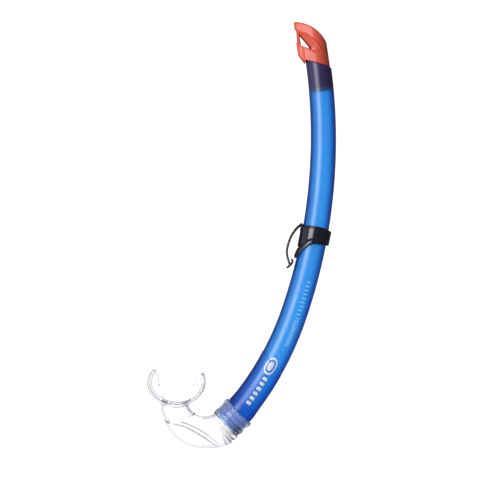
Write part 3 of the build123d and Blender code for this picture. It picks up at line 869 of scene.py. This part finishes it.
def bit_field(x, y, z):
    middle = outline_distance(x, z, open_arch(FLANGE_MIDDLE))
    span = np.abs(y) / FLANGE_HALF_HEIGHT
    wall = FLANGE_WALL / 2 * (1 - 0.45 * np.clip(span, 0, 1) ** 3)
    shell = np.abs(middle + FLANGE_CUP * span * span) - wall
    lid = arch(0, [])
    slope = (lid[0][1] - lid[-1][1]) / (lid[0][0] - lid[-1][0])
    above = z - (lid[-1][1] + (x - lid[-1][0]) * slope)
    corner_y = np.abs(y) - FLANGE_HALF_HEIGHT + FLANGE_CORNER
    corner_z = z - ARCH_LEFT_TIP[1] + FLANGE_CORNER
    outside = np.hypot(np.maximum(corner_y, 0), np.maximum(corner_z, 0)) - FLANGE_CORNER
    frame_cut = np.maximum(outside, above)
    shell = smooth_max(shell, frame_cut, 1.2 * MM)

    inner = outline_distance(x, z, open_arch(FLANGE_WALL + TAB_REACH))
    plan = smooth_max(outline_distance(x, z, arch(FLANGE_WALL / 2, TAB_CORNERS)), -inner, 1.2 * MM)
    hub_x, hub_z = ARCH_LOW + np.array([0, ARCH_R])
    low_end = (hub_z - z) * np.sin(TAB_END_TURN) - np.abs(x - hub_x) * np.cos(TAB_END_TURN)
    tab = smooth_max(smooth_max(plan, low_end, 1.5 * MM), np.abs(y) - TAB_HALF_THICK, 2.2 * MM)
    lug_inner = outline_distance(x, z, open_arch(FLANGE_WALL + TAB_REACH - LUG_THICK))
    lug = smooth_max(smooth_max(plan, lug_inner, 1.0 * MM), LUG_LOW_Z - z, 1.5 * MM)
    lug = smooth_max(lug, np.abs(y) - LUG_HALF_HEIGHT, 1.5 * MM)
    bit = smooth_min(smooth_min(shell, tab, 1.5 * MM), lug, 1.2 * MM)

    station = fan_station(x, z, NECK_SECTIONS)
    sleeve_end = fan_plane(x, z, NECK_SECTIONS[-1])
    swell = LIP_SWELL * np.clip(1 - np.abs(sleeve_end + 0.8 * LIP_LENGTH) / LIP_LENGTH, 0, 1)
    sleeve = oval_distance(x, y, z, NECK_SECTIONS, station, 0) - swell
    sleeve = smooth_max(sleeve, sleeve_end, 0.6 * MM)
    flange_side = outline_distance(x, z, open_arch(FLANGE_WALL / 2))
    sleeve = np.maximum(sleeve, -flange_side)
    way = oval_distance(x, y, z, NECK_SECTIONS, station, SLEEVE_WALL)
    way = np.maximum(way, z - 1.0 * MM)
    return smooth_max(smooth_min(bit, sleeve, 1.6 * MM), -way, 0.5 * MM)


def fan_plane(x, z, section):
    """Signed distance past a section's line, on the side of the next ones."""
    ox, oz, ix, iz = section[:4]
    length = np.hypot(ix - ox, iz - oz)
    return -((ix - ox) * (z - oz) - (iz - oz) * (x - ox)) / length


# ==== raised marks on the barrel ====

MARK_LIFT = 0.12 * MM
MARK_SINK = 0.25 * MM
TICK_COUNT = 22
TICK_LENGTH = 4.4 * MM
TICK_WIDTH = 0.7 * MM
TICK_FIRST_LEAN = radians(15.4)
TICK_LAST_LEAN = radians(24.6)
TICK_ASIDE = 4.2 * MM


def on_barrel(lean, aside, lift):
    """Points on the barrel's near face: a lean and a distance round it towards its back."""
    radius = barrel_radius(lean)
    turn = aside / radius - tau / 4
    return ring_points(centre(lean), direction(lean)[1], radius + lift, turn)


def round_bar(length, width, corners=32, power=4.0):
    """Outline of a bar with soft corners, centred on nought."""
    t = np.linspace(0, tau, corners, endpoint=False)
    size = (np.abs(np.cos(t)) ** power + np.abs(np.sin(t)) ** power) ** (-1 / power)
    return np.stack([length / 2 * size * np.cos(t), width / 2 * size * np.sin(t)], axis=-1)


def mark_shape(outline, lean, aside, hole=0.02):
    """Points and faces of one raised mark. hole is the share of it left open in the middle."""
    shares = np.linspace(1.0, hole, 5)
    radius = np.where(lean > KNEE_LEAN, LOWER_RADIUS, UPPER_RADIUS)
    rings = []
    for lift in (MARK_LIFT, -MARK_SINK):
        for share in shares if lift > 0 else shares[::-1]:
            along, round_it = share * outline.T
            rings.append(on_barrel(lean - along / radius, aside + round_it, lift))
    points = np.array(rings)
    return points.reshape(-1, 3), loop_faces(*points.shape[:2])[:, ::-1]


def marks_piece(name, shapes):
    points, faces, under, count = [], [], [], 0
    for shape_points, shape_faces in shapes:
        points.append(shape_points)
        faces.append(shape_faces + count)
        under.append(np.arange(len(shape_points)) >= len(shape_points) // 2)
        count += len(shape_points)
    piece = new_piece(name, np.concatenate(points), np.concatenate(faces))
    store(piece, "under", np.concatenate(under).astype(float))
    return piece


def make_ticks():
    leans = np.linspace(TICK_FIRST_LEAN, TICK_LAST_LEAN, TICK_COUNT)
    bar = round_bar(TICK_WIDTH, TICK_LENGTH, 24)
    return marks_piece("barrel_ticks_look", [mark_shape(bar, lean, TICK_ASIDE) for lean in leans])


# Plain printed pattern: a ring with a dot, and a row of blocks.
RING_SIZE = (17.5 * MM, 10.8 * MM, 64, 2.2)
RING_HOLE = 0.76
DOT_SIZE = (9.6 * MM, 5.2 * MM, 40, 2.2)
BLOCK_SIZE = (3.3 * MM, 5.0 * MM)
RING_LEAN = radians(29.4)
RING_ASIDE = -0.3 * MM
BLOCK_LEANS = np.radians(np.linspace(32.0, 37.4, 6))
BLOCK_ASIDE = 1.3 * MM


def make_print():
    ring = mark_shape(round_bar(*RING_SIZE), RING_LEAN, RING_ASIDE, RING_HOLE)
    dot = mark_shape(round_bar(*DOT_SIZE), RING_LEAN, RING_ASIDE)
    block = round_bar(*BLOCK_SIZE)
    blocks = [mark_shape(block, lean, BLOCK_ASIDE) for lean in BLOCK_LEANS]
    return marks_piece("barrel_print_look", [ring, dot, *blocks])


# ==== materials ====

def new_material(name):
    material = bpy.data.materials.new(name)
    material.use_nodes = True
    return material, material.node_tree, material.node_tree.nodes["Principled BSDF"]


def node(tree, kind, **settings):
    made = tree.nodes.new(kind)
    for key, value in settings.items():
        if isinstance(value, (int, float, tuple)) and key in made.inputs:
            made.inputs[key].default_value = value
        else:
            setattr(made, key, value)
    return made


def link(source, socket):
    socket.id_data.links.new(source, socket)


def object_position(tree, stretch=(1.0, 1.0, 1.0)):
    """The object's own coordinates in metres, stretched."""
    place = node(tree, "ShaderNodeTexCoord")
    mapping = node(tree, "ShaderNodeMapping")
    mapping.inputs["Scale"].default_value = stretch
    link(place.outputs["Object"], mapping.inputs["Vector"])
    return mapping.outputs["Vector"]


def noise(tree, vector, scale, detail=3.0):
    texture = node(tree, "ShaderNodeTexNoise", Scale=float(scale), Detail=float(detail))
    link(vector, texture.inputs["Vector"])
    return texture.outputs["Fac"]


def remap(tree, value, low, high, to_low, to_high):
    ranges = {"From Min": low, "From Max": high, "To Min": to_low, "To Max": to_high}
    made = node(tree, "ShaderNodeMapRange", **ranges)
    link(value, made.inputs["Value"])
    return made.outputs["Result"]


def spread(tree, value, low=0.3, high=0.7):
    """Nought to one as a noise value goes from low to high."""
    return remap(tree, value, low, high, 0.0, 1.0)


def mix_colours(tree, share, first, second):
    mix = node(tree, "ShaderNodeMix", data_type="RGBA")
    sockets = [socket for socket in mix.inputs if socket.type == "RGBA"]
    for socket, colour in zip(sockets, (first, second)):
        if isinstance(colour, tuple):
            socket.default_value = (*colour, 1.0)
        else:
            link(colour, socket)
    link(share, mix.inputs["Factor"])
    return [socket for socket in mix.outputs if socket.type == "RGBA"][0]


def add_bump(tree, shader, height, depth_mm, strength):
    bump = node(tree, "ShaderNodeBump", Strength=float(strength), Distance=depth_mm * MM)
    link(height, bump.inputs["Height"])
    link(bump.outputs["Normal"], shader.inputs["Normal"])


def surface(shader, colour, gloss):
    link(colour, shader.inputs["Base Color"])
    link(gloss, shader.inputs["Roughness"])


def absorb(tree, colour, density):
    """Light is soaked up inside the piece, so it is darker where it is thicker."""
    volume = node(tree, "ShaderNodeVolumeAbsorption", Density=float(density))
    volume.inputs["Color"].default_value = (*colour, 1.0)
    output = tree.nodes["Material Output"]
    link(volume.outputs["Volume"], output.inputs["Volume"])


def rim(tree, start, full):
    """Nought where glass is seen square on, rising to one along its outline; the materials paint shade
    by it.
    """
    weight = node(tree, "ShaderNodeLayerWeight", Blend=0.5)
    return spread(tree, weight.outputs["Facing"], start, full)


def stored(tree, name):
    return node(tree, "ShaderNodeAttribute", attribute_name=name).outputs["Fac"]


COVER_CLEARNESS = 0.80            # share of light that passes straight through over the spigot


def barrel_material():
    material, tree, shader = new_material("barrel_plastic")
    shader.inputs["IOR"].default_value = 1.46
    place = object_position(tree)
    patches = noise(tree, place, 45.0)
    tint = mix_colours(tree, spread(tree, patches), (0.86, 0.96, 0.98), (0.82, 0.94, 0.97))
    tint = mix_colours(tree, stored(tree, "zone"), tint, (0.14, 0.50, 0.74))
    # Painted shade: deeper blue towards the outer side of the bend.
    tint = mix_colours(tree, stored(tree, "outer"), tint, (0.36, 0.58, 0.76))
    # Painted shade: darker blue along the barrel's outline.
    tint = mix_colours(tree, rim(tree, 0.38, 0.85), tint, (0.08, 0.23, 0.44))
    tint = mix_colours(tree, stored(tree, "cover"), tint, (0.19, 0.13, 0.40))
    surface(shader, tint, remap(tree, patches, 0.3, 0.7, 0.27, 0.34))
    clearness = remap(tree, stored(tree, "cover"), 0.0, 1.0, 1.0, COVER_CLEARNESS)
    link(clearness, shader.inputs["Transmission Weight"])
    add_bump(tree, shader, noise(tree, place, 25.0, 0.0), 0.01, 0.05)
    absorb(tree, (0.10, 0.67, 0.945), 1000.0)
    return material


HAZE_CLEARNESS = 0.80             # share of light that passes straight through the collar


def clear_material(name, tint, gloss_range, ior, absorb_colour, density, bump_scale):
    material, tree, shader = new_material(name)
    shader.inputs["IOR"].default_value = ior
    place = object_position(tree)
    patches = noise(tree, place, 60.0)
    shade = tuple(0.985 * part for part in tint)
    colour = mix_colours(tree, patches, tint, shade)
    # Painted shade: greyer towards the outline, and dark right at it.
    colour = mix_colours(tree, rim(tree, 0.25, 0.75), colour, (0.82, 0.80, 0.88))
    colour = mix_colours(tree, rim(tree, 0.72, 1.0), colour, (0.26, 0.23, 0.31))
    colour = mix_colours(tree, stored(tree, "haze"), colour, (0.66, 0.76, 0.96))
    # Painted shade: dark lines along the elbow's crease and rib steps.
    colour = mix_colours(tree, stored(tree, "line"), colour, (0.04, 0.04, 0.06))
    surface(shader, colour, remap(tree, patches, 0.3, 0.7, *gloss_range))
    clearness = remap(tree, stored(tree, "haze"), 0.0, 1.0, 1.0, HAZE_CLEARNESS)
    link(clearness, shader.inputs["Transmission Weight"])
    add_bump(tree, shader, noise(tree, place, bump_scale, 0.0), 0.01, 0.05)
    absorb(tree, absorb_colour, density)
    return material


def guard_material():
    material, tree, shader = new_material("guard_plastic")
    place = object_position(tree)
    broad = noise(tree, place, 70.0)
    fine = noise(tree, place, 1900.0, 2.0)
    colour = mix_colours(tree, spread(tree, broad), (0.80, 0.118, 0.060), (0.71, 0.098, 0.050))
    surface(shader, colour, remap(tree, broad, 0.3, 0.7, 0.32, 0.42))
    shader.inputs["Subsurface Weight"].default_value = 0.1
    shader.inputs["Subsurface Scale"].default_value = 0.002
    add_bump(tree, shader, fine, 0.02, 0.5)
    return material


def keeper_material():
    material, tree, shader = new_material("keeper_plastic")
    place = object_position(tree)
    broad = noise(tree, place, 90.0)
    scuffs = noise(tree, object_position(tree, (1.0, 0.3, 2.2)), 900.0, 4.0)
    colour = mix_colours(tree, spread(tree, broad), (0.011, 0.008, 0.017), (0.020, 0.016, 0.027))
    surface(shader, colour, remap(tree, scuffs, 0.35, 0.75, 0.12, 0.24))
    add_bump(tree, shader, scuffs, 0.015, 0.4)
    return material


def print_material():
    material, tree, shader = new_material("barrel_print")
    place = object_position(tree)
    broad = noise(tree, place, 260.0)
    worn = noise(tree, place, 1500.0, 4.0)
    share = spread(tree, broad, 0.35, 0.65)
    colour = mix_colours(tree, share, (0.93, 0.95, 0.98), (0.76, 0.80, 0.90))
    colour = mix_colours(tree, stored(tree, "under"), colour, (0.01, 0.06, 0.30))
    surface(shader, colour, remap(tree, worn, 0.3, 0.7, 0.25, 0.5))
    add_bump(tree, shader, worn, 0.01, 0.4)
    return material


def glowing_tick_material():
    material, tree, shader = new_material("barrel_ticks_glowing")
    place = object_position(tree)
    broad = noise(tree, place, 120.0)
    colour = mix_colours(tree, broad, (0.42, 0.76, 1.0), (0.26, 0.60, 0.98))
    surface(shader, colour, remap(tree, broad, 0.3, 0.7, 0.1, 0.25))
    # Painted light: the ticks glow a little, so they look brighter than the tube round them.
    shader.inputs["Emission Color"].default_value = (0.30, 0.68, 1.0, 1.0)
    shader.inputs["Emission Strength"].default_value = 0.35
    add_bump(tree, shader, noise(tree, place, 900.0), 0.01, 0.3)
    return material


# ==== assembly ====

MATERIALS = {
    "barrel_plastic": barrel_material(),
    "guard_plastic": guard_material(),
    "keeper_plastic": keeper_material(),
    "elbow_clear": clear_material(
        "elbow_clear", (0.995, 0.994, 1.0), (0.04, 0.08), 1.25, (0.80, 0.80, 0.86), 8.0, 60.0
    ),
    "bit_silicone": clear_material(
        "bit_silicone", (0.992, 0.991, 1.0), (0.05, 0.09), 1.24, (0.82, 0.82, 0.87), 8.0, 70.0
    ),
}
PIECES = {                        # node: the body it rides on and its material slot
    "barrel": ("tube", "barrel_plastic"),
    "splash_guard": ("tube", "guard_plastic"),
    "keeper_band": ("keeper", "keeper_plastic"),
    "keeper_hinge_pin": ("keeper", "keeper_plastic"),
    "keeper_hook": ("hook", "keeper_plastic"),
    "elbow": ("mouthpiece", "elbow_clear"),
    "mouth_bit": ("mouthpiece", "bit_silicone"),
}


def net_of(node_name, field, cell):
    low, high = (tuple(corner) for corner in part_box(node_name))
    return surface_net(f"{node_name}_look", field, low, high, cell)


def place_piece(piece, node_name, material=None):
    body, slot = PIECES[node_name]
    piece.data.materials.append(material or MATERIALS[slot])
    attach(piece, body)


LOOKS = {
    "barrel": make_barrel(),
    "splash_guard": net_of("splash_guard", guard_field, GUARD_CELL),
    "keeper_band": net_of("keeper_band", band_field, KEEPER_CELL),
    "keeper_hinge_pin": make_pin(),
    "keeper_hook": net_of("keeper_hook", hook_field, KEEPER_CELL),
    "elbow": make_elbow(),
    "mouth_bit": net_of("mouth_bit", bit_field, BIT_CELL),
}
for node_name, look in LOOKS.items():
    place_piece(look, node_name)
    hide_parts(node_name)
    cad = frame["nodes"][node_name]
    cad.data.materials.clear()
    cad.data.materials.append(MATERIALS[PIECES[node_name][1]])
place_piece(make_ticks(), "barrel", glowing_tick_material())
place_piece(make_print(), "barrel", print_material())


# ==== stage, light and camera ====

FLOOR_Z = -79.0 * MM
VIEW_CENTRE = Vector((68.2 * MM, 0.0, 144.3 * MM))
CAMERA_DISTANCE = 1.3
FRAME_WIDTH = 0.47
SENSOR = 36.0
GLOW = 1.1                       # brighter than white, so that clear parts stay white too
GLOW_DARK = 0.40                 # share of the glow that the rest of the room has
GLOW_LEFT = (-0.80, -0.62)       # x where the glow begins and is full
GLOW_RIGHT = (0.94, 0.76)
GLOW_FRONT = (-1.10, -0.12)      # y where it begins and is full
GLOW_TOP = (1.05, 0.82)          # z where it begins and is full
FLOOR_RINGS = [0.01, 0.8]
WALL_R = 2.3
WALL_CURVE = 0.6
WALL_TOP = 2.4
WALL_CORNERS = 96


def stage_material():
    """White that glows behind and under the object and falls off to the sides."""
    material, tree, shader = new_material("studio_white")
    shader.inputs["Roughness"].default_value = 0.9
    place = object_position(tree)
    grain = noise(tree, place, 30.0)
    colour = mix_colours(tree, grain, (0.10, 0.10, 0.102), (0.098, 0.098, 0.10))
    link(colour, shader.inputs["Base Color"])
    shader.inputs["Emission Color"].default_value = (1.0, 1.0, 1.0, 1.0)
    split = node(tree, "ShaderNodeSeparateXYZ")
    link(place, split.inputs["Vector"])
    glow = spread(tree, split.outputs["X"], *GLOW_LEFT)
    for axis, limits in (("X", GLOW_RIGHT), ("Y", GLOW_FRONT), ("Z", GLOW_TOP)):
        share = spread(tree, split.outputs[axis], *limits)
        product = node(tree, "ShaderNodeMath", operation="MULTIPLY")
        link(glow, product.inputs[0])
        link(share, product.inputs[1])
        glow = product.outputs["Value"]
    strength = remap(tree, glow, 0.0, 1.0, GLOW * GLOW_DARK, GLOW)
    link(strength, shader.inputs["Emission Strength"])
    return material


def make_stage():
    """A round floor that curves up into a wall all round."""
    curve = np.linspace(0, tau / 4, 16)
    inward = WALL_CURVE * (1 - np.sin(curve))
    upward = WALL_CURVE * (1 - np.cos(curve))
    across = np.concatenate([FLOOR_RINGS, WALL_R - inward, [WALL_R]])
    height = FLOOR_Z + np.concatenate([np.zeros(len(FLOOR_RINGS)), upward, [WALL_TOP]])
    turn = np.linspace(0, tau, WALL_CORNERS, endpoint=False)
    x = VIEW_CENTRE.x + across[:, None] * np.cos(turn)
    y = across[:, None] * np.sin(turn)
    points = np.stack([x, y, np.broadcast_to(height[:, None], x.shape)], axis=-1).reshape(-1, 3)
    sides = loop_faces(*x.shape)[:-WALL_CORNERS].tolist()
    room = new_piece("studio_floor", points, [*sides, range(WALL_CORNERS)])
    room.data.materials.append(stage_material())
    room.visible_glossy = False
    room.visible_diffuse = False


def area_light(name, spot, target, size_x, size_y, power, colour=(1.0, 1.0, 1.0)):
    light = bpy.data.lights.new(name, "AREA")
    light.shape = "RECTANGLE"
    light.size, light.size_y = size_x, size_y
    light.energy = power
    light.color = colour
    lamp = bpy.data.objects.new(name, light)
    lamp.location = spot
    lamp.rotation_euler = (Vector(target) - Vector(spot)).to_track_quat("-Z", "Y").to_euler()
    lamp.visible_camera = False
    bpy.context.scene.collection.objects.link(lamp)


def make_lights():
    middle = (0.08, 0.0, 0.15)
    area_light("key_softbox", (-0.62, -1.0, 0.15), middle, 0.72, 1.1, 22.0, (0.95, 0.94, 1.0))
    area_light("side_panel", (-1.05, -0.05, 0.25), middle, 0.9, 1.3, 2.2, (0.85, 0.95, 1.0))
    area_light("top_softbox", (0.0, -0.5, 1.2), middle, 0.6, 0.4, 0.6)
    area_light("back_softbox", (0.5, 1.1, 1.3), middle, 0.8, 0.6, 7.0)


def make_world():
    world = bpy.data.worlds.new("studio")
    world.use_nodes = True
    background = world.node_tree.nodes["Background"]
    background.inputs["Color"].default_value = (0.13, 0.13, 0.145, 1.0)
    background.inputs["Strength"].default_value = 1.0
    bpy.context.scene.world = world


def make_camera():
    camera = bpy.data.cameras.new("camera")
    camera.sensor_width = SENSOR
    camera.lens = SENSOR * CAMERA_DISTANCE / FRAME_WIDTH
    eye = bpy.data.objects.new("camera", camera)
    eye.location = VIEW_CENTRE - Vector((0, CAMERA_DISTANCE, 0))
    eye.rotation_euler = (radians(90), 0, 0)
    bpy.context.scene.collection.objects.link(eye)
    bpy.context.scene.camera = eye


make_stage()
make_lights()
make_world()
make_camera()
bpy.context.scene.view_settings.view_transform = "Standard"
